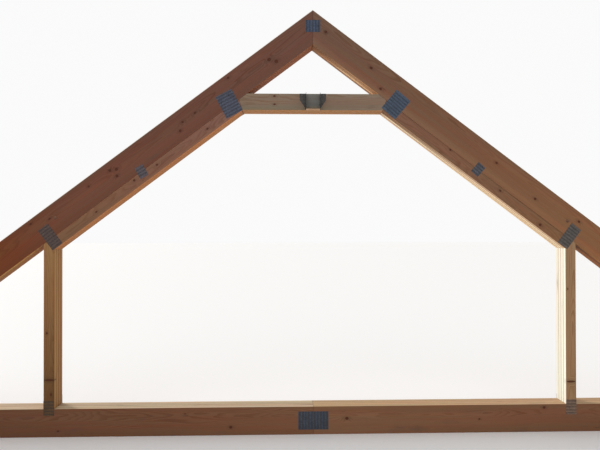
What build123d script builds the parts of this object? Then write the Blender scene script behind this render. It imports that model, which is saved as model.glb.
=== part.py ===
from build123d import *
from math import atan, cos, degrees, radians, sin
import os

os.makedirs("parts", exist_ok=True)

# A four-ply attic roof truss, standing on the underside of its bottom chords.
# X runs along the span, Y through the thickness (the front face looks towards -Y) and Z is up.
# All sizes are in millimetres.

# The truss as drawn by its designer: the room first, then the roof over it.
room_width = 4318.0
ceiling_height = 2500.0
flat_ceiling_width = 1190.0
roof_rise_per_run = 0.75
heel_butt = 6.0
plies = 4

# Dry planed lumber: every board is 38 mm thick, and the depth gives its name.
board_thickness = 38.1
deep_board = 235.0
collar_board = 140.0
light_board = 88.9
eased_edge = 3.0

# How closely the saw cuts meet.
joint_gap = 0.3

# Punched steel nail plates, pressed on both faces of every ply.
plate_thickness = 1.0
plate_seat = 0.1
plates_apart = 0.3
peak_plate = (127.0, 101.6)
collar_plate = (152.4, 203.2)
stitch_plate = (76.2, 101.6)
knee_plate = (101.6, 203.2)
base_plate = (light_board, 127.0)
heel_plate = (203.2, 127.0)
splice_plate = (254.0, 152.4)

# Where the press set them down: along the span, up from the seam they cover, and their turn in degrees.
collar_plate_turn_left = 28.0
collar_plate_turn_right = 40.5
stitch_place_left = 1439.0
stitch_place_right = 1409.0
stitch_turn_left = 30.0
stitch_turn_right = 42.0
base_plate_rise_left = 70.0
base_plate_rise_right = 38.0

# Where a plate's middle lies off its joint, as a share of the plate's length or of the post's depth.
peak_plate_up = 0.1
collar_plate_along = 0.55
collar_plate_up = 0.12
knee_plate_along = 0.4
knee_plate_up = 0.1

# Folded steel hanger that carries a beam on the front face of the collar.
hanger_inside_width = 116.0
hanger_reach = 76.0
hanger_sheet = 2.7
hanger_bend = 3.0
hanger_flange = 52.0
hanger_flange_waist = 7.0
hanger_flange_foot = 4.0
hanger_lip_reach = 48.0
hanger_seat_drop = 3.0
nail_hole = 4.6
side_nail_spacing = 64.0
side_nail_reach = 26.0

# The flange's shape in shares of the trough's height or of the flange's width.
shoulder_height = 0.60
shoulder_width = 0.94
shoulder_round = 0.25
waist_height = 0.18
nail_rows = 4
top_nail_drop = 0.14
nail_row_drop = 0.19
top_nail_reach = 0.62
nail_row_step = 0.13

# Lines of the truss that follow from the sizes above.
slope = atan(roof_rise_per_run)
half_room = room_width / 2
mitre_x = flat_ceiling_width / 2
chord_top = deep_board
collar_low = chord_top + ceiling_height
collar_high = collar_low + collar_board
light_underside = collar_low + roof_rise_per_run * mitre_x
deep_underside = light_underside + (joint_gap + light_board) / cos(slope)
apex = deep_underside + deep_board / cos(slope)
half_span = (deep_underside - heel_butt - joint_gap / cos(slope)) / roof_rise_per_run
up_slope = Vector(sin(slope), 0, cos(slope))
mitre_normal = Vector(cos(slope / 2), 0, -sin(slope / 2))
ply_pitch = board_thickness + 2 * (plate_seat + plate_thickness) + plates_apart
wood_width = (plies - 1) * ply_pitch + board_thickness
hanger_front = hanger_reach + plate_seat
middle_y = (hanger_front - plate_seat - plate_thickness) / 2
front_y = middle_y - wood_width / 2


def board(x, z, angle, length, depth, cuts):
    """A planed board. Its lower edge starts at (x, z) and climbs at the angle, and saw cuts end it."""
    section = Plane(origin=(x, 0, z), x_dir=(0, 1, 0), z_dir=(cos(angle), 0, sin(angle)))
    outline = RectangleRounded(board_thickness, depth, eased_edge)
    bar = extrude(section * Pos(board_thickness / 2, depth / 2) * outline, length)
    for point, normal in cuts:
        bar = split(bar, bisect_by=Plane(origin=point, z_dir=normal), keep=Keep.BOTTOM)
    return bar


def along_roof(height, x):
    """Height of a line parallel to the right-hand roof slope, which crosses the centre line at height."""
    return height - roof_rise_per_run * x


# The right-hand boards of one ply, with their front faces at y = 0 and more length than the cuts leave.
overrun = 400.0
uncut_slope = 1.4 * half_span
upright = radians(90)
top_chord = board(
    -overrun, along_roof(deep_underside, -overrun), -slope, uncut_slope, deep_board,
    [((joint_gap / 2, 0, 0), (-1, 0, 0)), ((half_span, 0, 0), (1, 0, 0))],
)
roof_seat = (0, 0, deep_underside - joint_gap / cos(slope))
mitre_low = Vector(mitre_x, 0, collar_low)
lower_chord = board(
    0, light_underside, -slope, uncut_slope, light_board,
    [
        (mitre_low + mitre_normal * (joint_gap / 2), -mitre_normal),
        ((half_room - joint_gap, 0, 0), (1, 0, 0)),
    ],
)
knee_post = board(
    half_room + light_board, chord_top + joint_gap, upright, apex, light_board,
    [(roof_seat, up_slope)],
)
bottom_chord = board(
    joint_gap / 2, 0, 0, half_span, deep_board,
    [((half_span, 0, 0), (1, 0, 0)), (roof_seat, up_slope)],
)
collar_half = board(
    0, collar_low, 0, 2 * mitre_x, collar_board,
    [(mitre_low - mitre_normal * (joint_gap / 2), mitre_normal), (roof_seat, up_slope)],
)
collar_tie = collar_half + mirror(collar_half, about=Plane.YZ)

pairs = {
    "top_chord": top_chord,
    "lower_chord": lower_chord,
    "knee_post": knee_post,
    "bottom_chord": bottom_chord,
}
for ply in range(plies):
    place = Pos(0, front_y + ply * ply_pitch, 0)
    for name, right in pairs.items():
        export_step(place * right, f"parts/{name}_right_{ply + 1}.step")
        export_step(place * mirror(right, about=Plane.YZ), f"parts/{name}_left_{ply + 1}.step")
    export_step(place * collar_tie, f"parts/collar_tie_{ply + 1}.step")


def nail_plates(name, x, z, size, turn):
    """One plate on the front and one on the back of every ply, at the same place on each."""
    plate = Pos(x, 0, z) * Rot(0, turn, 0) * Box(size[0], plate_thickness, size[1])
    off_face = plate_seat + plate_thickness / 2
    plates = []
    for ply in range(plies):
        ply_front = front_y + ply * ply_pitch
        plates.append(Pos(0, ply_front - off_face, 0) * plate)
        plates.append(Pos(0, ply_front + board_thickness + off_face, 0) * plate)
    export_step(Compound(children=plates), f"parts/{name}.step")


# The seams that the plates cover.
roof_turn = degrees(slope)
collar_plate_x = mitre_x + collar_plate_along * collar_plate[1]
collar_plate_z = along_roof(deep_underside, collar_plate_x) + collar_plate_up * collar_plate[1]
knee_plate_x = half_room + knee_plate_along * light_board
knee_plate_z = along_roof(deep_underside, knee_plate_x) + knee_plate_up * knee_plate[1]
heel_top_x = (deep_underside - chord_top) / roof_rise_per_run
heel_plate_x = (heel_top_x + half_span) / 2
heel_plate_z = (chord_top + heel_butt) / 2
peak_plate_z = (apex + deep_underside) / 2 + peak_plate_up * peak_plate[1]

nail_plates("peak_plates", 0, peak_plate_z, peak_plate, 0)
nail_plates("collar_plates_left", -collar_plate_x, collar_plate_z, collar_plate, -collar_plate_turn_left)
nail_plates("collar_plates_right", collar_plate_x, collar_plate_z, collar_plate, collar_plate_turn_right)
nail_plates(
    "stitch_plates_left", -stitch_place_left, along_roof(deep_underside, stitch_place_left),
    stitch_plate, -stitch_turn_left,
)
nail_plates(
    "stitch_plates_right", stitch_place_right, along_roof(deep_underside, stitch_place_right),
    stitch_plate, stitch_turn_right,
)
nail_plates("knee_plates_left", -knee_plate_x, knee_plate_z, knee_plate, -roof_turn)
nail_plates("knee_plates_right", knee_plate_x, knee_plate_z, knee_plate, roof_turn)
post_middle = half_room + light_board / 2
nail_plates(
    "base_plates_left", -post_middle, chord_top + base_plate_rise_left - base_plate[1] / 2, base_plate, 0,
)
nail_plates(
    "base_plates_right", post_middle, chord_top + base_plate_rise_right - base_plate[1] / 2, base_plate, 0,
)
nail_plates("heel_plates_left", -heel_plate_x, heel_plate_z, heel_plate, -roof_turn)
nail_plates("heel_plates_right", heel_plate_x, heel_plate_z, heel_plate, roof_turn)
nail_plates("splice_plates", 0, deep_board / 2, splice_plate, 0)

# The hanger is one sheet: a trough that holds the beam's end, with a flange folded out on each side.
hanger_back = front_y - plate_seat
trough_half = hanger_inside_width / 2 + hanger_sheet
trough_low = collar_low - hanger_seat_drop
trough_height = collar_high - trough_low
outer_bend = hanger_bend + hanger_sheet
outside = Pos(0, trough_low + trough_height) * Rectangle(2 * trough_half, 2 * trough_height)
outside = fillet(outside.vertices().group_by(Axis.Y)[0], outer_bend)
inside = Pos(0, trough_low + hanger_sheet + trough_height) * Rectangle(hanger_inside_width, 2 * trough_height)
inside = fillet(inside.vertices().group_by(Axis.Y)[0], hanger_bend)
facing = Plane(origin=(0, hanger_back, 0), x_dir=(1, 0, 0), z_dir=(0, -1, 0))
trough = extrude(facing * (outside - inside), hanger_reach)
side_view = Plane(origin=(-2 * trough_half, 0, 0), x_dir=(0, 1, 0), z_dir=(1, 0, 0))
beyond = 1.0
trim = Polyline(
    (hanger_back + beyond, trough_low - beyond),
    (hanger_back - hanger_reach - beyond, trough_low - beyond),
    (hanger_back - hanger_reach - beyond, trough_low + 2 * outer_bend),
    (hanger_back - hanger_lip_reach, collar_high),
    (hanger_back + beyond, collar_high),
    close=True,
)
trough = trough & extrude(side_view * make_face(trim), 4 * trough_half)
flange_line = Polyline(
    (trough_half - hanger_sheet, collar_high),
    (trough_half + hanger_flange, collar_high),
    (trough_half + shoulder_width * hanger_flange, trough_low + shoulder_height * trough_height),
    (trough_half + hanger_flange_waist, trough_low + waist_height * trough_height),
    (trough_half + hanger_flange_foot, trough_low + outer_bend),
    (trough_half - hanger_sheet, trough_low + outer_bend),
    close=True,
)
flange_face = make_face(flange_line)
shoulder = flange_face.vertices().sort_by(Axis.X)[-2]
flange_face = fillet(shoulder, shoulder_round * hanger_flange)
flange = extrude(facing * flange_face, hanger_sheet)
holes = []
for row in range(nail_rows):
    height = collar_high - trough_height * (top_nail_drop + nail_row_drop * row)
    reach = trough_half + hanger_flange * (top_nail_reach - nail_row_step * row)
    holes.append(Pos(reach, hanger_back, height) * Rot(90, 0, 0) * Cylinder(nail_hole / 2, 4 * hanger_sheet))
flange = flange - holes
for side in (-1, 1):
    middle = (trough_low + outer_bend + collar_high) / 2
    height = middle + side * side_nail_spacing / 2
    across = Pos(0, hanger_back - side_nail_reach, height) * Rot(0, 90, 0)
    trough = trough - across * Cylinder(nail_hole / 2, 3 * trough_half)
hanger = trough + flange + mirror(flange, about=Plane.YZ)
export_step(hanger, "parts/beam_hanger.step")
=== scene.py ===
import math
import random
from typing import NamedTuple

import bmesh
import bpy
from mathutils import Matrix, Vector


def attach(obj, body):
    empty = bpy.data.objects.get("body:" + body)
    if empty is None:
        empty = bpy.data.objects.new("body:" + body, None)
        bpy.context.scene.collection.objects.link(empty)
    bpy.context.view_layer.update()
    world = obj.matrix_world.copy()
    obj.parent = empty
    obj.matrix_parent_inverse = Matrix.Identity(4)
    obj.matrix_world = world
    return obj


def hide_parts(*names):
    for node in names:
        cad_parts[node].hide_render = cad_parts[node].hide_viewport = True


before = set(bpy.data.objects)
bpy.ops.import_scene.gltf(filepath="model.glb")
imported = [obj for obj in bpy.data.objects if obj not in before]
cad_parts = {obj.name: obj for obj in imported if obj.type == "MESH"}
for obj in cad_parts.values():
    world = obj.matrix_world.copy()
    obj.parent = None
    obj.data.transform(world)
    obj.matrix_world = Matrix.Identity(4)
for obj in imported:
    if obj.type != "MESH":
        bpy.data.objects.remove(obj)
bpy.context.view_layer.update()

# The roof's pitch, and the boards' thickness in metres.
ROOF_RISE_PER_RUN = 0.75
ROOF_ANGLE = math.atan(ROOF_RISE_PER_RUN)
THICKNESS = 0.0381

# How the wood grew, in metres: how far the pith lies from the board's face, and how wide the rings are.
PITH_DISTANCE = (0.035, 0.10)
RING_SPACING = (0.0036, 0.0052)

# Knots: their height as a share of their length, how slowly they change through the board, the range of
# the random ones' radius in metres, and the distance that stands for no knot at all, in a knot's radii.
KNOT_HEIGHT = (0.75, 1.0)
KNOT_THROUGH = 0.12
RANDOM_KNOT = (0.005, 0.013)
NO_KNOT = 9.0

# Lines along the edges of a board, in metres in from the edge: where each begins, and where it is full.
# Corners with wear, painted highlight and painted shade.
WORN_LIT_ARRIS = (0.0045, 0.0015)
# A painted highlight along the top of the face of some boards.
RIM_HIGHLIGHT_FACE = (0.004, 0.001)
RIM_HIGHLIGHT_TOP = (0.005, 0.002)
# Painted shade and dirt in the seam along a saw cut.
SAW_LINE = (0.0036, 0.0008)

# The lower arris's brightness gives way to the upper one's within this distance of the board's middle.
MIDDLE_BAND = 0.001

# How deep the relief of each surface is, in metres.
GRAIN_RELIEF = 0.0006
ZINC_RELIEF = 0.0006
CRUSHED_RELIEF = 0.0004


def linear(r, g, b):
    """A colour given as 0 to 255 screen values, as the shaders want it."""
    def one(c):
        c = c / 255
        return c / 12.92 if c <= 0.04045 else ((c + 0.055) / 1.055) ** 2.4
    return (one(r), one(g), one(b), 1.0)


def shade(colour, k):
    """A colour times a grey amount."""
    return tuple(min(1.0, c * k) for c in colour[:3]) + (1.0,)


# Colours of what grows in the wood or lies on it, and of the painted shade and dirt along the saw cuts.
KNOT_PALE, KNOT_DARK, BARK = linear(96, 44, 20), linear(56, 24, 9), linear(50, 26, 11)
SMUDGE, PITCH, SEAM_SHADE_AND_DIRT = linear(82, 70, 66), linear(60, 40, 33), linear(52, 34, 27)


class Nodes:
    """A short way to write a node tree."""

    def __init__(self, tree):
        self.tree = tree

    def put(self, kind, values=(), **settings):
        """Adds a node, with its settings and with a value or a link for each socket named."""
        node = self.tree.nodes.new(kind)
        for key, value in settings.items():
            setattr(node, key, value)
        for key, value in dict(values).items():
            self.into(node.inputs[key], value)
        return node

    def into(self, socket, value):
        """Links a socket to another, or gives it a value."""
        if isinstance(value, bpy.types.NodeSocket):
            self.tree.links.new(value, socket)
        else:
            socket.default_value = value

    def math(self, operation, a, b=0.0, clamp=False):
        node = self.put("ShaderNodeMath", {0: a, 1: b}, operation=operation, use_clamp=clamp)
        return node.outputs[0]

    def product(self, a, b):
        return self.math("MULTIPLY", a, b)

    def vector(self, operation, a, b=(0.0, 0.0, 0.0)):
        node = self.put("ShaderNodeVectorMath", {0: a, 1: b}, operation=operation)
        return node.outputs["Value" if operation in ("LENGTH", "DOT_PRODUCT") else "Vector"]

    def scaled(self, vector, scale):
        return self.vector("MULTIPLY", vector, scale)

    def ramp(self, value, low, high, to_low=0.0, to_high=1.0, smooth=True):
        """Maps the stretch from low to high onto another one, and holds the ends."""
        node = self.put(
            "ShaderNodeMapRange",
            {0: value, 1: low, 2: high, 3: to_low, 4: to_high},
            interpolation_type="SMOOTHSTEP" if smooth else "LINEAR",
        )
        return node.outputs[0]

    def noise(self, vector, scale, seed, detail=2.0, rough=0.5):
        node = self.put(
            "ShaderNodeTexNoise",
            {"Vector": vector, "W": seed, "Scale": scale, "Detail": detail, "Roughness": rough},
            noise_dimensions="4D",
        )
        return node.outputs["Fac"]

    def mix(self, amount, a, b, blend="MIX"):
        node = self.put("ShaderNodeMix", data_type="RGBA", blend_type=blend)
        self.into(node.inputs[0], amount)
        self.into(node.inputs[6], a)
        self.into(node.inputs[7], b)
        return node.outputs[2]

    def stretches(self, along, colours, smooth=True):
        """The first colour, and then each next one with the distances between which it comes in."""
        colour = colours[0]
        for following, begins, ends in colours[1:]:
            colour = self.mix(self.ramp(along, begins, ends, smooth=smooth), colour, following)
        return colour

    def tinted(self, colour, tint):
        """Multiplies a colour by another."""
        return self.mix(1.0, colour, tint, "MULTIPLY")

    def brighten(self, colour, amount):
        """Multiplies a colour by a grey amount."""
        grey = self.put("ShaderNodeCombineColor", {0: amount, 1: amount, 2: amount}).outputs[0]
        return self.tinted(colour, grey)


def material(name):
    """An empty material, a writer for its nodes, and its shader."""
    made = bpy.data.materials.new(name)
    made.use_nodes = True
    made.node_tree.nodes.clear()
    n = Nodes(made.node_tree)
    shader = n.put("ShaderNodeBsdfPrincipled")
    n.put("ShaderNodeOutputMaterial", {"Surface": shader.outputs[0]})
    return made, n, shader


def knot_group():
    """One knot: how much of it is here, how far its grain swirl reaches, and the distance from its heart."""
    group = bpy.data.node_groups.new("knot", "ShaderNodeTree")
    for name, kind, way in (
        ("Point", "NodeSocketVector", "INPUT"),
        ("Place", "NodeSocketVector", "INPUT"),
        ("Stretch", "NodeSocketVector", "INPUT"),
        ("Core", "NodeSocketFloat", "OUTPUT"),
        ("Swirl", "NodeSocketFloat", "OUTPUT"),
        ("Distance", "NodeSocketFloat", "OUTPUT"),
    ):
        group.interface.new_socket(name=name, in_out=way, socket_type=kind)
    n = Nodes(group)
    source = n.put("NodeGroupInput")
    result = n.put("NodeGroupOutput")
    away = n.vector("SUBTRACT", source.outputs[0], source.outputs[1])
    away = n.scaled(away, source.outputs[2])
    near = n.vector("LENGTH", away)
    wide = n.vector("LENGTH", n.scaled(away, (0.42, 0.5, 0.8)))
    n.into(result.inputs[0], n.ramp(near, 1.12, 0.86))
    n.into(result.inputs[1], n.ramp(wide, 2.6, 0.0))
    n.into(result.inputs[2], near)
    return group


KNOT = knot_group()


class Lumber:
    """Sawn and planed softwood. Its grain runs along the board, in rings round a pith outside the board."""

    def __init__(self, name, look, start, size, seed):
        self.made, n, self.shader = material(name)
        self.n, self.look, self.depth, self.seed = n, look, size[2], seed
        self.chance = random.Random(seed)
        self.place = n.put("ShaderNodeTexCoord").outputs["Object"]
        back = Matrix.Rotation(look.turn, 3, "Y") @ Vector(start)
        self.board = n.put(
            "ShaderNodeMapping",
            {"Vector": self.place, "Location": tuple(-back), "Rotation": (0, look.turn, 0)},
            vector_type="POINT",
        ).outputs[0]
        self.along, self.through, self.up = n.put("ShaderNodeSeparateXYZ", {0: self.board}).outputs
        self.normal = n.put("ShaderNodeNewGeometry").outputs["Normal"]
        self.narrow = n.ramp(self.facing((0.0, 1.0, 0.0)), 0.8, 0.55)
        self.end_grain = n.ramp(self.facing((math.cos(look.turn), 0.0, math.sin(look.turn))), 0.35, 0.55)

    def facing(self, way):
        """How squarely the surface faces a direction, or away from it."""
        return self.n.math("ABSOLUTE", self.n.vector("DOT_PRODUCT", self.normal, way))

    def grain(self, along, across, shift, detail=2.0, rough=0.5):
        """Noise with about so many lumps a metre along the grain and across it."""
        stretched = self.n.scaled(self.board, (along, across, across))
        return self.n.noise(stretched, scale=1.0, seed=self.seed * shift, detail=detail, rough=rough)

    def add_knots(self, knots):
        """Works out how much knot there is, how strongly the grain swirls, and how far the next heart is."""
        n = self.n
        self.core, self.swirl, self.heart = 0.0, 0.0, NO_KNOT
        for along, up, radius, reach in knots:
            tall = reach or radius * self.chance.uniform(*KNOT_HEIGHT)
            knot = n.put("ShaderNodeGroup", node_tree=KNOT)
            n.into(knot.inputs[0], self.board)
            n.into(knot.inputs[1], (along, THICKNESS / 2, up))
            n.into(knot.inputs[2], (1 / radius, KNOT_THROUGH / radius, 1 / tall))
            self.core = n.math("MAXIMUM", knot.outputs[0], self.core)
            self.swirl = n.math("ADD", knot.outputs[1], self.swirl)
            self.heart = n.math("MINIMUM", knot.outputs[2], self.heart)

    def add_rings(self):
        """Works out the dark late wood of the growth rings, which slow noise and the knots bend."""
        n, chance = self.n, self.chance
        pith = (chance.uniform(*PITH_DISTANCE), self.depth * chance.uniform(0.1, 0.9))
        pith_y = -pith[0] if chance.random() < 0.5 else THICKNESS + pith[0]
        tapered = n.vector("SUBTRACT", n.scaled(self.board, (0.010, 1.0, 1.0)), (-0.05, pith_y, pith[1]))
        slow = self.grain(0.9, 7.0, shift=1.7)
        self.wander = self.grain(4.0, 26.0, shift=2.3, detail=3.0)
        reach = n.vector("LENGTH", tapered)
        reach = n.math("ADD", reach, n.product(n.math("SUBTRACT", slow, 0.5), 0.075))
        reach = n.math("ADD", reach, n.product(n.math("SUBTRACT", self.wander, 0.5), 0.006))
        reach = n.math("ADD", reach, n.product(self.swirl, 0.010))
        ring = n.math("DIVIDE", reach, chance.uniform(*RING_SPACING))
        part = n.math("FRACT", ring)
        late = n.product(n.ramp(part, 0.35, 0.86), n.ramp(part, 1.0, 0.93))
        whole = n.math("FLOOR", ring)
        which = n.put("ShaderNodeTexWhiteNoise", {"W": whole}, noise_dimensions="1D").outputs["Value"]
        self.late, self.late_depth = late, n.ramp(which, 0.0, 1.0, 0.34, 0.62)

    def planed(self, face, under, upper):
        """The colour of clean wood with painted light and shade on it, from the widest change to the finest.
        """
        n = self.n
        # Painted light and shade in bands across the face, low, in the middle and high.
        low_shade, middle_shade, top_shade = self.look.shades
        colour = n.stretches(self.along, face, smooth=False)
        height_share = n.math("DIVIDE", self.up, self.depth)
        lower_shade = n.ramp(height_share, 0.10, 0.28, low_shade, middle_shade)
        upper_shade = n.ramp(height_share, 0.78, 0.97, 1.0, top_shade / middle_shade)
        colour = n.brighten(colour, n.product(lower_shade, upper_shade))
        # The narrow edges take colours of painted light and shade, one for those facing down and one for
        # those facing up.
        facing_up = n.ramp(n.vector("DOT_PRODUCT", self.normal, (0.0, 0.0, 1.0)), -0.2, 0.2)
        edge = n.mix(facing_up, n.stretches(self.along, under), upper)
        colour = n.mix(n.product(self.narrow, 0.85), colour, edge)

        tone = self.grain(0.45, 9.0, shift=3.1, detail=3.0)
        colour = n.mix(n.ramp(tone, 0.36, 0.66, 0.0, 0.55), colour, n.brighten(colour, 0.78))
        self.streak = self.grain(1.1, 55.0, shift=4.7, detail=4.0, rough=0.6)
        warm = n.tinted(colour, (1.10, 0.90, 0.74, 1.0))
        colour = n.mix(n.ramp(self.streak, 0.42, 0.72, 0.0, 0.6), colour, warm)
        sap = self.grain(0.8, 22.0, shift=6.1, detail=4.0, rough=0.62)
        red = n.tinted(colour, (1.05, 0.96, 0.95, 1.0))
        yellow = n.tinted(colour, (0.98, 1.08, 1.04, 1.0))
        colour = n.mix(n.ramp(sap, 0.34, 0.66), red, yellow)
        late_colour = n.tinted(colour, (0.66, 0.52, 0.42, 1.0))
        colour = n.mix(n.product(self.late, self.late_depth), colour, late_colour)
        self.fibre = self.grain(16.0, 700.0, shift=5.9, detail=3.0, rough=0.65)
        colour = n.brighten(colour, n.ramp(self.fibre, 0.25, 0.75, 0.90, 1.12, smooth=False))
        return n.brighten(colour, n.ramp(n.math("MINIMUM", self.swirl, 1.0), 0.1, 1.0, 1.06, 0.84))

    def knotty(self, colour):
        """The colour with knots over it, ringed inside and edged with bark."""
        n = self.n
        rings = n.product(n.math("ADD", self.heart, n.product(self.wander, 0.6)), 3.6)
        knot_colour = n.mix(n.ramp(n.math("FRACT", rings), 0.2, 0.9), KNOT_PALE, KNOT_DARK)
        bark = n.product(n.ramp(self.heart, 0.78, 1.0), n.ramp(self.heart, 1.2, 1.02))
        colour = n.mix(n.product(self.core, 0.92), colour, knot_colour)
        return n.mix(n.product(bark, 0.7), colour, BARK)

    def smudged(self, colour):
        """The colour with grey smudges and a few dark streaks of pitch over it."""
        n = self.n
        smudge = self.grain(2.6, 9.0, shift=7.3, detail=5.0, rough=0.62)
        colour = n.mix(n.ramp(smudge, 0.56, 0.78, 0.0, 0.42), colour, SMUDGE)
        pitch_spot = n.put(
            "ShaderNodeTexVoronoi",
            {"Vector": n.scaled(self.board, (3.2, 24.0, 24.0)), "W": self.seed * 1.3, "Scale": 1.0},
            voronoi_dimensions="4D",
        ).outputs["Distance"]
        return n.mix(n.ramp(pitch_spot, 0.13, 0.06, 0.0, 0.5), colour, PITCH)

    def worn_and_lit(self, colour):
        """The colour with wear and painted highlight and shade on the corners, and with a painted highlight
        along the top of some boards.
        """
        n, look, depth = self.n, self.look, self.depth
        half_thick, half_deep = THICKNESS / 2, depth / 2
        towards_face = n.math("ABSOLUTE", n.math("SUBTRACT", self.through, half_thick))
        towards_edge = n.math("ABSOLUTE", n.math("SUBTRACT", self.up, half_deep))
        arris = n.product(
            n.ramp(towards_face, half_thick - WORN_LIT_ARRIS[0], half_thick - WORN_LIT_ARRIS[1]),
            n.ramp(towards_edge, half_deep - WORN_LIT_ARRIS[0], half_deep - WORN_LIT_ARRIS[1]),
        )
        worn_lit_arris_mask = n.product(arris, n.ramp(self.streak, 0.3, 0.6, 0.35, 0.85))
        # The lower and upper corners are brightened or darkened: wear, with painted highlight and painted
        # shade.
        worn_arris_light = n.ramp(self.up, half_deep - MIDDLE_BAND, half_deep + MIDDLE_BAND, *look.arris_wear_and_light)
        colour = n.mix(worn_lit_arris_mask, colour, n.brighten(colour, worn_arris_light))
        # A painted highlight along the top of the face, on some boards.
        if look.rim:
            rim_highlight_line = n.product(
                n.ramp(towards_face, half_thick - RIM_HIGHLIGHT_FACE[0], half_thick - RIM_HIGHLIGHT_FACE[1]),
                n.ramp(self.up, depth - RIM_HIGHLIGHT_TOP[0], depth - RIM_HIGHLIGHT_TOP[1]),
            )
            colour = n.mix(n.product(rim_highlight_line, n.ramp(self.streak, 0.3, 0.6, 0.6, 0.95)), colour, look.rim)
        return colour

    def sawn(self, colour, cuts):
        """The colour with painted shade and dirt along each saw cut, and dark end grain."""
        n = self.n
        # Painted shade along the seam of each cut, patchy as dirt is.
        seam_shade_and_dirt = n.ramp(self.wander, 0.35, 0.65, 0.25, 0.60)
        for point, way in cuts:
            from_cut = n.vector("SUBTRACT", self.place, point)
            gap = n.math("ABSOLUTE", n.vector("DOT_PRODUCT", from_cut, way))
            colour = n.mix(n.product(n.ramp(gap, *SAW_LINE), seam_shade_and_dirt), colour, SEAM_SHADE_AND_DIRT)
        end_colour = n.tinted(colour, (0.62, 0.55, 0.50, 1.0))
        return n.mix(n.product(self.end_grain, 0.55), colour, end_colour)

    def fill_shader(self, colour):
        """Gives the shader its colour, roughness and relief."""
        n, shader = self.n, self.shader
        n.into(shader.inputs["Base Color"], colour)
        rough = n.ramp(self.fibre, 0.2, 0.8, 0.56, 0.70, smooth=False)
        rough = n.math("SUBTRACT", rough, n.product(self.core, 0.05))
        rough = n.math("ADD", rough, n.product(self.end_grain, 0.18), clamp=True)
        n.into(shader.inputs["Roughness"], rough)
        shader.inputs["Specular IOR Level"].default_value = 0.2
        chatter = self.grain(190.0, 2.0, shift=8.9, detail=1.0)
        height = n.math("ADD", n.product(self.late, 0.35), n.product(self.fibre, 0.9))
        height = n.math("ADD", height, n.product(chatter, 0.18))
        height = n.math("ADD", height, n.product(self.core, 0.5))
        bump = n.put("ShaderNodeBump", {"Strength": 0.55, "Distance": GRAIN_RELIEF, "Height": height})
        n.into(shader.inputs["Normal"], bump.outputs[0])


def lumber(name, look, start, size, seed, face, under, upper, knots, cuts):
    """The material of one board, from the colours along its face and its two narrow edges."""
    wood = Lumber(name, look, start, size, seed)
    wood.add_knots(knots)
    wood.add_rings()
    colour = wood.planed(face, under, upper)
    colour = wood.knotty(colour)
    colour = wood.smudged(colour)
    colour = wood.worn_and_lit(colour)
    colour = wood.sawn(colour, cuts)
    wood.fill_shader(colour)
    return wood.made


def galvanised(name, base, spangle, seed, rough=0.42, painted_ground_reflection=None):
    """Hot-dipped zinc: dull crystals of different greys, cloudy patches and fine scratches.

    Spangle is how many crystals it has a metre, and the last colour is a painted reflection of the lit
    ground, where the steel faces down.
    """
    made, n, shader = material(name)
    place = n.put("ShaderNodeTexCoord").outputs["Object"]
    cells = n.put(
        "ShaderNodeTexVoronoi", {"Vector": place, "W": seed, "Scale": spangle}, voronoi_dimensions="4D",
    )
    crystal = n.put("ShaderNodeSeparateColor", {0: cells.outputs["Color"]}).outputs
    cloud = n.noise(place, scale=16.0, seed=seed + 3.0, detail=4.0, rough=0.6)
    scratch = n.noise(n.scaled(place, (30.0, 30.0, 900.0)), scale=1.0, seed=seed + 5.0)
    colour = n.brighten(base, n.ramp(crystal[0], 0.0, 1.0, 0.82, 1.22, smooth=False))
    colour = n.mix(n.ramp(cloud, 0.45, 0.75, 0.0, 0.45), colour, shade(base, 0.72))
    colour = n.mix(n.ramp(scratch, 0.66, 0.74, 0.0, 0.35), colour, shade(base, 1.7))
    # A painted reflection of the lit ground on the faces that point down.
    if painted_ground_reflection:
        normal = n.put("ShaderNodeNewGeometry").outputs["Normal"]
        down = n.ramp(n.vector("DOT_PRODUCT", normal, (0.0, 0.0, -1.0)), 0.5, 0.9, 0.0, 0.85)
        lit = n.brighten(painted_ground_reflection, n.ramp(crystal[0], 0.0, 1.0, 0.85, 1.1, smooth=False))
        colour = n.mix(down, colour, lit)
    n.into(shader.inputs["Base Color"], colour)
    shader.inputs["Metallic"].default_value = 0.75
    surface = n.ramp(crystal[1], 0.0, 1.0, rough - 0.08, rough + 0.12, smooth=False)
    surface = n.math("ADD", surface, n.ramp(cloud, 0.45, 0.75, 0.0, 0.16), clamp=True)
    n.into(shader.inputs["Roughness"], surface)
    height = n.math("ADD", n.product(crystal[2], 0.25), n.product(scratch, 0.35))
    height = n.math("ADD", height, n.product(cloud, 1.2))
    bump = n.put("ShaderNodeBump", {"Strength": 0.35, "Distance": ZINC_RELIEF, "Height": height})
    n.into(shader.inputs["Normal"], bump.outputs[0])
    return made


def crushed_wood_and_shadow():
    """The torn fibres and shadow at the bottom of a tooth slot."""
    made, n, shader = material("tooth_slot_bottom")
    place = n.put("ShaderNodeTexCoord").outputs["Object"]
    grit = n.noise(place, scale=900.0, seed=2.0, detail=3.0)
    n.into(shader.inputs["Base Color"], n.mix(grit, linear(34, 33, 36), linear(66, 58, 55)))
    n.into(shader.inputs["Roughness"], n.ramp(grit, 0.2, 0.8, 0.75, 0.95))
    bump = n.put("ShaderNodeBump", {"Strength": 0.6, "Distance": CRUSHED_RELIEF, "Height": grit})
    n.into(shader.inputs["Normal"], bump.outputs[0])
    return made


class BoardLook(NamedTuple):
    """How one kind of board lies and looks. Its face colours are the wood as it looks in shade, and its
    narrow edges, corners, bands and rim carry painted light and shade.
    """

    turn: float        # its slope, rising to the right
    face_near: tuple   # colour of the face at the start of the board
    face_far: tuple    # colour of the face at its end
    under: tuple       # colour of the narrow edge that faces down or inwards, with painted light on it
    upper: tuple       # colour of the other narrow edge, with painted light on it
    arris_wear_and_light: tuple     # brightness of the lower and upper corners: wear, with painted highlight and painted shade
    shades: tuple      # painted light and shade across the face: its brightness low, in the middle and high
    rim: tuple = None  # colour of a painted highlight along the top of the face


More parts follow.
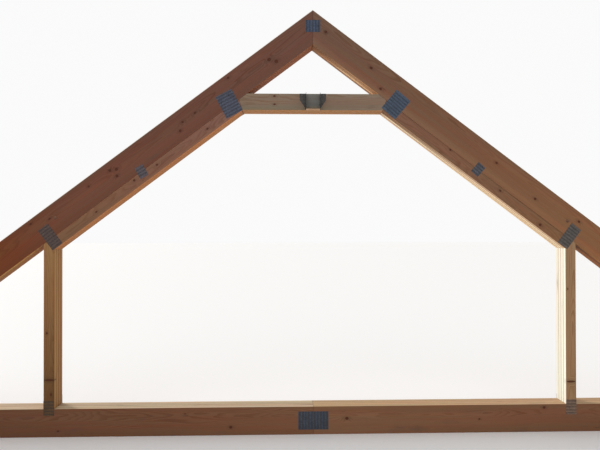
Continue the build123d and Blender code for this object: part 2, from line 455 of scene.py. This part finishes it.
RISING, FALLING, UPRIGHT = ROOF_ANGLE, -ROOF_ANGLE, math.pi / 2
LOOKS = {
    "top_chord_left": BoardLook(
        RISING, linear(118, 69, 47), linear(114, 78, 66), linear(160, 88, 36), linear(204, 178, 152),
        arris_wear_and_light=(1.0, 1.2), shades=(1.0, 1.0, 0.98), rim=linear(240, 224, 204),
    ),
    "top_chord_right": BoardLook(
        FALLING, linear(120, 89, 74), linear(153, 104, 63), linear(168, 120, 78), linear(150, 134, 116),
        arris_wear_and_light=(1.2, 1.15), shades=(1.16, 1.0, 1.0), rim=linear(128, 118, 100),
    ),
    "lower_chord_left": BoardLook(
        RISING, linear(132, 95, 69), linear(135, 101, 88), linear(204, 132, 66), linear(160, 122, 96),
        arris_wear_and_light=(1.15, 1.25), shades=(1.12, 0.98, 0.99),
    ),
    "lower_chord_right": BoardLook(
        FALLING, linear(132, 97, 79), linear(141, 101, 72), linear(250, 222, 188), linear(96, 66, 44),
        arris_wear_and_light=(0.62, 0.3), shades=(1.0, 1.0, 0.84),
    ),
    "knee_post_left": BoardLook(
        UPRIGHT, linear(106, 72, 39), linear(160, 122, 81), linear(186, 138, 84), linear(186, 138, 84),
        arris_wear_and_light=(0.7, 1.3), shades=(0.85, 0.98, 1.14),
    ),
    "knee_post_right": BoardLook(
        UPRIGHT, linear(160, 125, 92), linear(156, 124, 95), linear(226, 226, 217), linear(226, 226, 217),
        arris_wear_and_light=(1.15, 1.1), shades=(1.0, 1.0, 1.0),
    ),
    "bottom_chord_left": BoardLook(
        0.0, linear(101, 62, 43), linear(132, 92, 68), linear(160, 116, 82), linear(206, 188, 160),
        arris_wear_and_light=(1.0, 1.25), shades=(1.0, 1.0, 1.0),
    ),
    "bottom_chord_right": BoardLook(
        0.0, linear(136, 97, 72), linear(124, 84, 60), linear(160, 116, 82), linear(200, 170, 134),
        arris_wear_and_light=(1.0, 1.25), shades=(1.0, 1.0, 1.0),
    ),
    "collar_tie": BoardLook(
        0.0, linear(137, 121, 104), linear(142, 123, 107), linear(198, 136, 76), linear(186, 156, 126),
        arris_wear_and_light=(1.0, 1.1), shades=(1.0, 0.97, 1.01),
    ),
}

# Between heel and knee the undersides of the left-hand top chords are paler, with painted light. They change
# at the knee post, so far from the heel, in metres.
PAINTED_LIGHT_BEYOND_KNEE = linear(165, 112, 47)
KNEE_BEGINS, KNEE_ENDS = 2.5, 2.8

# Faces and undersides that change along the board: the first colour, then each next one and where it
# comes in, in metres from the board's start. The undersides' colours are painted light and painted shade.
PLY_FACES = {
    "top_chord_left_1": (
        linear(117, 63, 34), (linear(116, 74, 57), 2.40, 2.95), (linear(114, 78, 66), 2.95, 5.60),
    ),
}
PLY_EDGES = {
    "top_chord_left_1": (linear(200, 152, 70), (linear(160, 88, 36), KNEE_BEGINS, KNEE_ENDS)),
    "top_chord_right_1": (
        linear(140, 96, 58), (linear(182, 138, 98), 0.36, 0.66), (linear(156, 104, 40), 2.0, 2.8),
    ),
    "top_chord_right_2": (
        linear(146, 98, 58), (linear(190, 146, 106), 0.36, 0.70), (linear(102, 56, 16), 2.0, 2.8),
    ),
    "top_chord_right_3": (
        linear(172, 124, 80), (linear(244, 208, 166), 0.32, 0.62), (linear(123, 70, 22), 2.0, 2.8),
    ),
    "top_chord_right_4": (
        linear(156, 110, 72), (linear(166, 120, 80), 0.36, 0.66), (linear(140, 92, 48), 2.0, 2.8),
    ),
    "lower_chord_left_1": (linear(209, 133, 66),),
    "lower_chord_left_2": (linear(190, 124, 60),),
    "lower_chord_left_3": (linear(191, 125, 60),),
    "lower_chord_left_4": (linear(182, 117, 56),),
    "lower_chord_right_1": (linear(148, 106, 74), (linear(220, 186, 155), 0.0, 1.6)),
    "lower_chord_right_2": (linear(136, 94, 62), (linear(252, 230, 198), 0.0, 1.3)),
    "lower_chord_right_3": (linear(250, 226, 192), (linear(252, 230, 196), 0.0, 1.0)),
    "lower_chord_right_4": (linear(226, 192, 158), (linear(242, 214, 174), 0.0, 1.0)),
}

# Knots that show on the front face, listed one by one. Each has its distance from the board's upper end, or
# from a post's foot or the collar's left end, its share of the way up across the board, and its radius. A
# fourth number is how far a knot that was sawn lengthwise reaches across the board. Lengths are in metres.
SEEN_KNOTS = {
    "top_chord_left_1": [
        (0.51, 0.30, 0.014), (0.55, 0.50, 0.014), (0.92, 0.85, 0.010), (1.32, 0.55, 0.010),
        (1.45, 0.55, 0.009), (1.51, 0.35, 0.011), (2.13, 0.60, 0.011), (2.16, 0.40, 0.011),
        (2.18, 0.70, 0.011), (2.40, 0.70, 0.009), (2.82, 0.60, 0.009), (2.97, 0.85, 0.009),
    ],
    "top_chord_right_1": [
        (0.20, 0.65, 0.011), (0.69, 0.60, 0.013), (0.86, 0.20, 0.011), (2.03, 0.60, 0.011),
        (2.48, 0.40, 0.011), (2.90, 0.70, 0.011),
    ],
    "lower_chord_left_1": [
        (0.36, 0.55, 0.009), (0.88, 0.65, 0.008), (1.11, 0.75, 0.009), (1.52, 0.50, 0.008),
    ],
    "lower_chord_right_1": [(0.69, 0.90, 0.008), (1.24, 0.65, 0.010), (1.69, 0.35, 0.011)],
    "collar_tie_1": [(0.30, 0.35, 0.009), (0.30, 0.85, 0.009)],
    "knee_post_left_1": [(0.12, 0.30, 0.010), (0.24, 0.45, 0.008, 0.040), (0.63, 0.70, 0.009)],
    "knee_post_right_1": [(0.19, 0.50, 0.008, 0.036), (0.98, 0.80, 0.006)],
}


def board_place(node, turn):
    """The board's lowest corner in its own axes, turned back into the frame, and its size on each axis."""
    spin = Matrix.Rotation(turn, 3, "Y")
    points = [spin @ v.co for v in node.data.vertices]
    low = Vector(min(p[i] for p in points) for i in range(3))
    high = Vector(max(p[i] for p in points) for i in range(3))
    return spin.transposed() @ low, high - low


# An end face's normal has more than this share of the board's direction, and the face has more than this
# many square metres.
END_FACE_TURN, SMALLEST_END = 0.35, 1e-4


def board_cuts(node, axis):
    """The planes of the saw cuts that end a board, as a point and a normal each."""
    found = {}
    for polygon in node.data.polygons:
        if abs(polygon.normal.dot(axis)) > END_FACE_TURN and polygon.area > SMALLEST_END:
            way = polygon.normal
            key = tuple(round(c, 2) for c in way)
            found.setdefault(key, (tuple(polygon.center), tuple(way)))
    return [found[key] for key in sorted(found)]


# Random knots: about how far apart, in metres, on the front ply and on those behind, the most that a board
# gets, and the range of their places in their own stretch of the board and across it.
FRONT_KNOT_SPACING, HIDDEN_KNOT_SPACING = 0.75, 0.6
MOST_RANDOM_KNOTS = 7
KNOT_ALONG, KNOT_ACROSS = (0.15, 0.85), (0.12, 0.88)


def board_knots(name, turn, size, chance):
    """A board's knots, seen ones first and then random ones: place along and up it, radius, and reach."""
    found = []
    for distance, share, radius, *reach in SEEN_KNOTS.get(name, []):
        along = size[0] - distance if turn == RISING else distance
        found.append((along, size[2] * share, radius, reach[0] if reach else None))
    if name.endswith("_1"):
        spare = max(0, int(size[0] / FRONT_KNOT_SPACING) - len(found))
    else:
        spare = int(size[0] / HIDDEN_KNOT_SPACING) + 1
    for i in range(min(spare, MOST_RANDOM_KNOTS)):
        along = size[0] * (i + chance.uniform(*KNOT_ALONG)) / spare
        up = size[2] * chance.uniform(*KNOT_ACROSS)
        found.append((along, up, chance.uniform(*RANDOM_KNOT), None))
    return found


# The plies behind the front one differ from it at random, in their faces and in their narrow edges. Each
# board has its own seeds, one for these differences and one for its grain.
FACE_SHADES, EDGE_SHADES = (0.94, 1.16), (0.86, 1.04)
CHANCE_SEED = 100
LOOK_SEED, LOOK_SEED_STEP = 11.0, 3.7

for index, name in enumerate(sorted(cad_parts)):
    kind = name.rsplit("_", 1)[0]
    if kind not in LOOKS:
        continue
    look = LOOKS[kind]
    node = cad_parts[name]
    start, size = board_place(node, look.turn)
    chance = random.Random(CHANCE_SEED + index)
    face_near, face_far, under, upper = look.face_near, look.face_far, look.under, look.upper
    beyond = PAINTED_LIGHT_BEYOND_KNEE if kind == "top_chord_left" else under
    if not name.endswith("_1"):
        k = chance.uniform(*FACE_SHADES)
        face_near, face_far = shade(face_near, k), shade(face_far, k)
        k = chance.uniform(*EDGE_SHADES)
        under, upper, beyond = shade(under, k), shade(upper, k), shade(beyond, k)
    face = PLY_FACES.get(name, (face_near, (face_far, 0.0, size[0])))
    under = PLY_EDGES.get(name, (beyond, (under, KNEE_BEGINS, KNEE_ENDS)))
    knots = board_knots(name, look.turn, size, chance)
    cuts = board_cuts(node, Vector((math.cos(look.turn), 0, math.sin(look.turn))))
    seed = LOOK_SEED + LOOK_SEED_STEP * index
    wood = lumber(f"wood_{name}", look, start, size, seed, face, under, upper, knots, cuts)
    node.data.materials.clear()
    node.data.materials.append(wood)

# Inside the hanger the wood is grey with painted shade and warm with painted light at its foot: how soft the
# patch's edge is, how high its warmer foot reaches, and half its width, in metres. The collar's own edges
# end it below and above.
TROUGH_SHADE_BLUR = 0.006
FOOT_BEGINS, FOOT_ENDS = 0.045, 0.010
TROUGH_SHADE_HALF = 0.060


def trough_shade(made, low, high, tint, foot):
    """Painted shade on the front of the wood, between two corners in x and z, with painted warm light at its
    foot.
    """
    tree = made.node_tree
    n = Nodes(tree)
    base = next(node for node in tree.nodes if node.type == "BSDF_PRINCIPLED").inputs["Base Color"]
    wood = base.links[0].from_socket
    place = n.put("ShaderNodeTexCoord").outputs["Object"]
    axes = n.put("ShaderNodeSeparateXYZ", {0: place}).outputs
    inside = n.ramp(axes[0], low[0], low[0] + TROUGH_SHADE_BLUR)
    inside = n.product(inside, n.ramp(axes[0], high[0], high[0] - TROUGH_SHADE_BLUR))
    inside = n.product(inside, n.ramp(axes[2], low[1], low[1] + TROUGH_SHADE_BLUR))
    inside = n.product(inside, n.ramp(axes[2], high[1], high[1] - TROUGH_SHADE_BLUR))
    cloud = n.noise(n.scaled(place, (9.0, 9.0, 60.0)), scale=1.0, seed=77.0, detail=4.0, rough=0.6)
    painted_trough_light = n.mix(n.ramp(axes[2], low[1] + FOOT_BEGINS, low[1] + FOOT_ENDS), tint, foot)
    painted_trough_light = n.brighten(painted_trough_light, n.ramp(cloud, 0.3, 0.7, 0.86, 1.12, smooth=False))
    n.into(base, n.mix(n.product(inside, n.ramp(cloud, 0.25, 0.7, 0.6, 0.85)), wood, painted_trough_light))


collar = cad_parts["collar_tie_1"].data
collar_low = min(v.co.z for v in collar.vertices)
collar_high = max(v.co.z for v in collar.vertices)
# A grey patch of painted shade inside the hanger, with painted warm light at its foot.
trough_shade(
    collar.materials[0], (-TROUGH_SHADE_HALF, collar_low), (TROUGH_SHADE_HALF, collar_high),
    tint=linear(122, 126, 124), foot=linear(160, 142, 116),
)

# Nail plates, punched with rows of slots: first the colour given to each joint's plates.
PLATE_TONES = {
    "peak_plates": linear(64, 74, 92),
    "splice_plates": linear(74, 80, 92),
    "collar_plates_left": linear(74, 78, 92),
    "collar_plates_right": linear(70, 82, 98),
    "stitch_plates_left": linear(84, 78, 84),
    "stitch_plates_right": linear(82, 84, 92),
    "knee_plates_left": linear(88, 74, 70),
    "knee_plates_right": linear(92, 88, 86),
    "base_plates_left": linear(96, 74, 54),
    "base_plates_right": linear(128, 106, 92),
    "heel_plates_left": linear(78, 82, 92),
    "heel_plates_right": linear(78, 82, 92),
}
# The slots' floors are dark with painted shadow over torn fibres.
SLOT_BOTTOM = crushed_wood_and_shadow()

# The slots' spacing and size in metres. Their corners are cut by a share of half their width, and their
# floors are narrower and shorter than their mouths and lie a small share of the sheet above its back.
SLOT_PITCH, ROW_PITCH = 0.0254, 0.00635
SLOT_LENGTH, SLOT_WIDTH = 0.0150, 0.0031
SLOT_CORNER = 0.62
FLOOR_WIDTH, FLOOR_LENGTH, FLOOR_SHEET = 0.94, 0.8, 0.06
SMALLEST_RIM = 1e-5
COUNT_SLACK = 1e-6
WHOLE_CELL = 0.99


def plate_layers(node):
    """The four corners of the plates' outline, its middle, and the two planes between which each lies."""
    ys = sorted({round(v.co.y, 5) for v in node.data.vertices})
    corners = {(round(v.co.x, 5), round(v.co.z, 5)) for v in node.data.vertices}
    middle = Vector((sum(c[0] for c in corners), sum(c[1] for c in corners))) / len(corners)
    ordered = sorted(corners, key=lambda c: math.atan2(c[1] - middle.y, c[0] - middle.x))
    return [Vector(c) for c in ordered], middle, list(zip(ys[0::2], ys[1::2]))


def slot_outline(half_width, half_length):
    """A slot with cut corners, as eight points."""
    a, b = half_width, half_length
    cut = a * SLOT_CORNER
    upper = [(a, b - cut), (a - cut, b), (cut - a, b), (-a, b - cut)]
    return upper + [(-u, -v) for u, v in upper]


def punched_plate(mesh, middle, across, along, width, length, outside, inside):
    """A closed sheet between two planes, with pockets where teeth were punched out of its outer face."""
    def point(a, b, y):
        p = middle + across * a + along * b
        return mesh.verts.new((p.x, y, p.y))

    columns = int(width / ROW_PITCH + COUNT_SLACK)
    rows = int(length / SLOT_PITCH + COUNT_SLACK)
    rim_a, rim_b = (width - columns * ROW_PITCH) / 2, (length - rows * SLOT_PITCH) / 2
    lines_a = [-width / 2 + rim_a + i * ROW_PITCH for i in range(columns + 1)]
    lines_b = [-length / 2 + rim_b + i * SLOT_PITCH for i in range(rows + 1)]
    if rim_a > SMALLEST_RIM:
        lines_a = [-width / 2] + lines_a + [width / 2]
    if rim_b > SMALLEST_RIM:
        lines_b = [-length / 2] + lines_b + [length / 2]
    grid = [[point(a, b, outside) for b in lines_b] for a in lines_a]
    floor_y = inside + (outside - inside) * FLOOR_SHEET
    mouth = slot_outline(SLOT_WIDTH / 2, SLOT_LENGTH / 2)
    bottom = slot_outline(SLOT_WIDTH / 2 * FLOOR_WIDTH, SLOT_LENGTH / 2 * FLOOR_LENGTH)
    for i in range(len(lines_a) - 1):
        for j in range(len(lines_b) - 1):
            cell = [grid[i + 1][j + 1], grid[i][j + 1], grid[i][j], grid[i + 1][j]]
            wide, tall = lines_a[i + 1] - lines_a[i], lines_b[j + 1] - lines_b[j]
            if wide < ROW_PITCH * WHOLE_CELL or tall < SLOT_PITCH * WHOLE_CELL:
                mesh.faces.new(cell)
                continue
            a, b = (lines_a[i] + lines_a[i + 1]) / 2, (lines_b[j] + lines_b[j + 1]) / 2
            top = [point(a + u, b + v, outside) for u, v in mouth]
            low = [point(a + u, b + v, floor_y) for u, v in bottom]
            for corner in range(4):
                first, second = 2 * corner, 2 * corner + 1
                mesh.faces.new([cell[corner], top[first], top[second]])
                last = (second + 1) % 8
                mesh.faces.new([cell[corner], top[second], top[last], cell[(corner + 1) % 4]])
            for k in range(8):
                mesh.faces.new([top[k], low[k], low[(k + 1) % 8], top[(k + 1) % 8]])
            mesh.faces.new(low).material_index = 1
    rim = [grid[i][0] for i in range(len(lines_a))]
    rim += [grid[-1][j] for j in range(1, len(lines_b))]
    rim += [grid[i][-1] for i in range(len(lines_a) - 2, -1, -1)]
    rim += [grid[0][j] for j in range(len(lines_b) - 2, 0, -1)]
    under = [mesh.verts.new((v.co.x, inside, v.co.z)) for v in rim]
    for k in range(len(rim)):
        mesh.faces.new([rim[k], rim[(k + 1) % len(rim)], under[(k + 1) % len(rim)], under[k]])
    mesh.faces.new(under)


def thin_plate(mesh, corners, front, back):
    """A plate between two plies, where only its edge can be seen."""
    near = [mesh.verts.new((c.x, front, c.y)) for c in corners]
    far = [mesh.verts.new((c.x, back, c.y)) for c in corners]
    mesh.faces.new(near)
    mesh.faces.new(far)
    for k in range(4):
        mesh.faces.new([near[k], near[(k + 1) % 4], far[(k + 1) % 4], far[k]])


def as_piece(name, mesh, *looks):
    """A new piece of the truss from a mesh and its materials."""
    bmesh.ops.recalc_face_normals(mesh, faces=mesh.faces)
    data = bpy.data.meshes.new(name)
    mesh.to_mesh(data)
    mesh.free()
    piece = bpy.data.objects.new(name, data)
    bpy.context.scene.collection.objects.link(piece)
    for look in looks:
        data.materials.append(look)
    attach(piece, "root")
    return piece


for name in sorted(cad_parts):
    if "plates" not in name:
        continue
    corners, middle, layers = plate_layers(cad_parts[name])
    first, second = corners[1] - corners[0], corners[2] - corners[1]
    if first.length < second.length:
        first, second = second, first
    mesh = bmesh.new()
    shape = (middle, second.normalized(), first.normalized(), second.length, first.length)
    for number, (front, back) in enumerate(layers):
        if number == 0:
            punched_plate(mesh, *shape, front, back)
        elif number == len(layers) - 1:
            punched_plate(mesh, *shape, back, front)
        else:
            thin_plate(mesh, corners, front, back)
    steel = galvanised(f"zinc_{name}", PLATE_TONES[name], spangle=150.0, seed=4.0)
    piece = as_piece(f"punched_{name}", mesh, steel, SLOT_BOTTOM)
    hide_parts(name)

# The hanger, its nails, and the screws that hold the plies together above the knees.
# The hanger's steel gets a painted warm reflection of the ground on the faces that point down.
HANGER_STEEL = galvanised(
    "hanger_steel_zinc", linear(66, 64, 62), spangle=110.0, seed=9.0, rough=0.38, painted_ground_reflection=linear(184, 128, 52),
)
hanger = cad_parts["beam_hanger"]
hanger.data.materials.clear()
hanger.data.materials.append(HANGER_STEEL)
NAIL_STEEL = galvanised("fastener_zinc", linear(92, 82, 76), spangle=400.0, seed=6.0, rough=0.5)
SCREW_STEEL = galvanised("screw_zinc", linear(119, 87, 69), spangle=400.0, seed=6.0, rough=0.62)


def turned(mesh, x, z, profile, sides=16):
    """A closed round shape about a line through (x, z) along Y, from points (radius, y)."""
    rings = []
    for radius, y in profile:
        if radius == 0:
            rings.append([mesh.verts.new((x, y, z))])
            continue
        rings.append([])
        for k in range(sides):
            a = 2 * math.pi * k / sides
            rings[-1].append(mesh.verts.new((x + radius * math.cos(a), y, z + radius * math.sin(a))))
    for one, two in zip(rings, rings[1:]):
        for k in range(sides):
            m = (k + 1) % sides
            if len(one) == 1:
                mesh.faces.new([one[0], two[k], two[m]])
            elif len(two) == 1:
                mesh.faces.new([one[k], two[0], one[m]])
            else:
                mesh.faces.new([one[k], two[k], two[m], one[m]])


# The hanger's sheet, and half the width of its trough, in metres. The nails sit in the flanges' holes,
# whose rows are shares of the hanger's height and of a flange's width.
HANGER_SHEET = 0.0027
TROUGH_HALF = 0.0607
NAIL_ROWS, NAIL_DROP, NAIL_ROW_DROP = 4, 0.14, 0.19
NAIL_REACH, NAIL_ROW_STEP = 0.62, 0.13
hanger_points = [v.co for v in hanger.data.vertices]
hanger_top = max(p.z for p in hanger_points)
hanger_height = hanger_top - min(p.z for p in hanger_points)
flange_width = max(p.x for p in hanger_points) - TROUGH_HALF
flange_front = max(p.y for p in hanger_points) - HANGER_SHEET
wood_front = min(v.co.y for v in collar.vertices)

# A nail's and a screw's outline, each point as its radius and how far it stands in front of the steel or
# the wood. The screws' places are x and z beside the knee plates. All are in metres.
NAIL_HEAD = (
    (0, 0.0019), (0.0022, 0.0017), (0.0038, 0.0011), (0.0043, 0.0004), (0.0041, 0.00005), (0.0020, 0.00005),
)
NAIL_SHANK = ((0.0020, 0.0002), (0, 0.0002))
SCREW_HEAD = (
    (0, 0.0058), (0.0030, 0.0056), (0.0064, 0.0046), (0.0072, 0.0030), (0.0110, 0.0024), (0.0135, 0.0016),
    (0.0140, 0.0008), (0.0138, 0.00005), (0, 0.00005),
)
SCREW_PLACES = ((-2.154, 1.828), (2.178, 1.796))
SCREW_SIDES = 24

nail_profile = [(radius, flange_front - out) for radius, out in NAIL_HEAD]
nail_profile += [(radius, wood_front - out) for radius, out in NAIL_SHANK]
mesh = bmesh.new()
for side in (-1, 1):
    for row in range(NAIL_ROWS):
        x = TROUGH_HALF + flange_width * (NAIL_REACH - NAIL_ROW_STEP * row)
        z = hanger_top - hanger_height * (NAIL_DROP + NAIL_ROW_DROP * row)
        turned(mesh, side * x, z, nail_profile)
nails = as_piece("hanger_nails", mesh, NAIL_STEEL)

mesh = bmesh.new()
for x, z in SCREW_PLACES:
    turned(mesh, x, z, [(radius, wood_front - out) for radius, out in SCREW_HEAD], SCREW_SIDES)
screws = as_piece("ply_screws", mesh, SCREW_STEEL)
for piece in (nails, screws):
    for polygon in piece.data.polygons:
        polygon.use_smooth = True

# Floor, light and camera. The floor is white to the camera and a little darker as a reflector, and the
# world is brighter to the camera and in mirrors than as a lamp. Half the floor's side is in metres.
FLOOR_HALF = 60
FLOOR_COLOUR = (0.84, 0.83, 0.81, 1.0)
WORLD_LIGHT, WORLD_SEEN = 0.55, 0.96
WHITE = (1.0, 1.0, 1.0, 1.0)
floor_look, n, shader = material("pale_floor")
seen = n.put("ShaderNodeLightPath").outputs["Is Camera Ray"]
n.into(shader.inputs["Base Color"], n.mix(seen, FLOOR_COLOUR, WHITE))
shader.inputs["Roughness"].default_value = 0.9
shader.inputs["Specular IOR Level"].default_value = 0.1
mesh = bmesh.new()
bmesh.ops.create_grid(mesh, x_segments=2, y_segments=2, size=FLOOR_HALF)
data = bpy.data.meshes.new("floor")
mesh.to_mesh(data)
mesh.free()
floor = bpy.data.objects.new("floor", data)
floor.data.materials.append(floor_look)
bpy.context.scene.collection.objects.link(floor)

world = bpy.data.worlds.new("studio")
world.use_nodes = True
world.node_tree.nodes.clear()
n = Nodes(world.node_tree)
path = n.put("ShaderNodeLightPath").outputs
mirrored = n.math("MAXIMUM", path["Is Glossy Ray"], path["Is Transmission Ray"])
seen = n.math("MAXIMUM", path["Is Camera Ray"], mirrored)
strength = n.ramp(seen, 0.0, 1.0, WORLD_LIGHT, WORLD_SEEN, smooth=False)
background = n.put("ShaderNodeBackground", {"Color": WHITE, "Strength": strength})
n.put("ShaderNodeOutputWorld", {"Surface": background.outputs[0]})
bpy.context.scene.world = world


def lamp(name, azimuth, elevation, strength, softness, colour):
    """A far soft lamp. Azimuth 0 shines from the left along the truss, and 90 from behind it."""
    light = bpy.data.lights.new(name, "SUN")
    light.energy = strength
    light.angle = math.radians(softness)
    light.color = colour
    made = bpy.data.objects.new(name, light)
    a, e = math.radians(azimuth), math.radians(elevation)
    toward = Vector((-math.cos(a) * math.cos(e), math.sin(a) * math.cos(e), math.sin(e)))
    made.rotation_euler = toward.to_track_quat("Z", "Y").to_euler()
    bpy.context.scene.collection.objects.link(made)


lamp("key", azimuth=38, elevation=16, strength=3.6, softness=14, colour=(1.0, 0.96, 0.91))
lamp("fill", azimuth=-70, elevation=35, strength=0.40, softness=50, colour=(1.0, 0.99, 0.98))

# The camera stands where a fit to the photograph's measured points puts it. Its place and range are in
# metres, its turns in radians, and its lens and sensor in millimetres.
CAMERA_PLACE = (-0.2250, -4.4965, 1.7342)
CAMERA_UP, CAMERA_ROLL, CAMERA_SIDEWAYS = 0.0068, 0.0014, -0.0257
CAMERA_LENS, SENSOR_WIDTH, FARTHEST = 31.667, 36.0, 200

camera_data = bpy.data.cameras.new("photo_camera")
camera_data.sensor_width = SENSOR_WIDTH
camera_data.lens = CAMERA_LENS
camera_data.clip_end = FARTHEST
camera = bpy.data.objects.new("photo_camera", camera_data)
camera.location = CAMERA_PLACE
camera.rotation_euler = (math.pi / 2 + CAMERA_UP, CAMERA_ROLL, CAMERA_SIDEWAYS)
bpy.context.scene.collection.objects.link(camera)
bpy.context.scene.camera = camera
bpy.context.scene.view_settings.view_transform = "Standard"
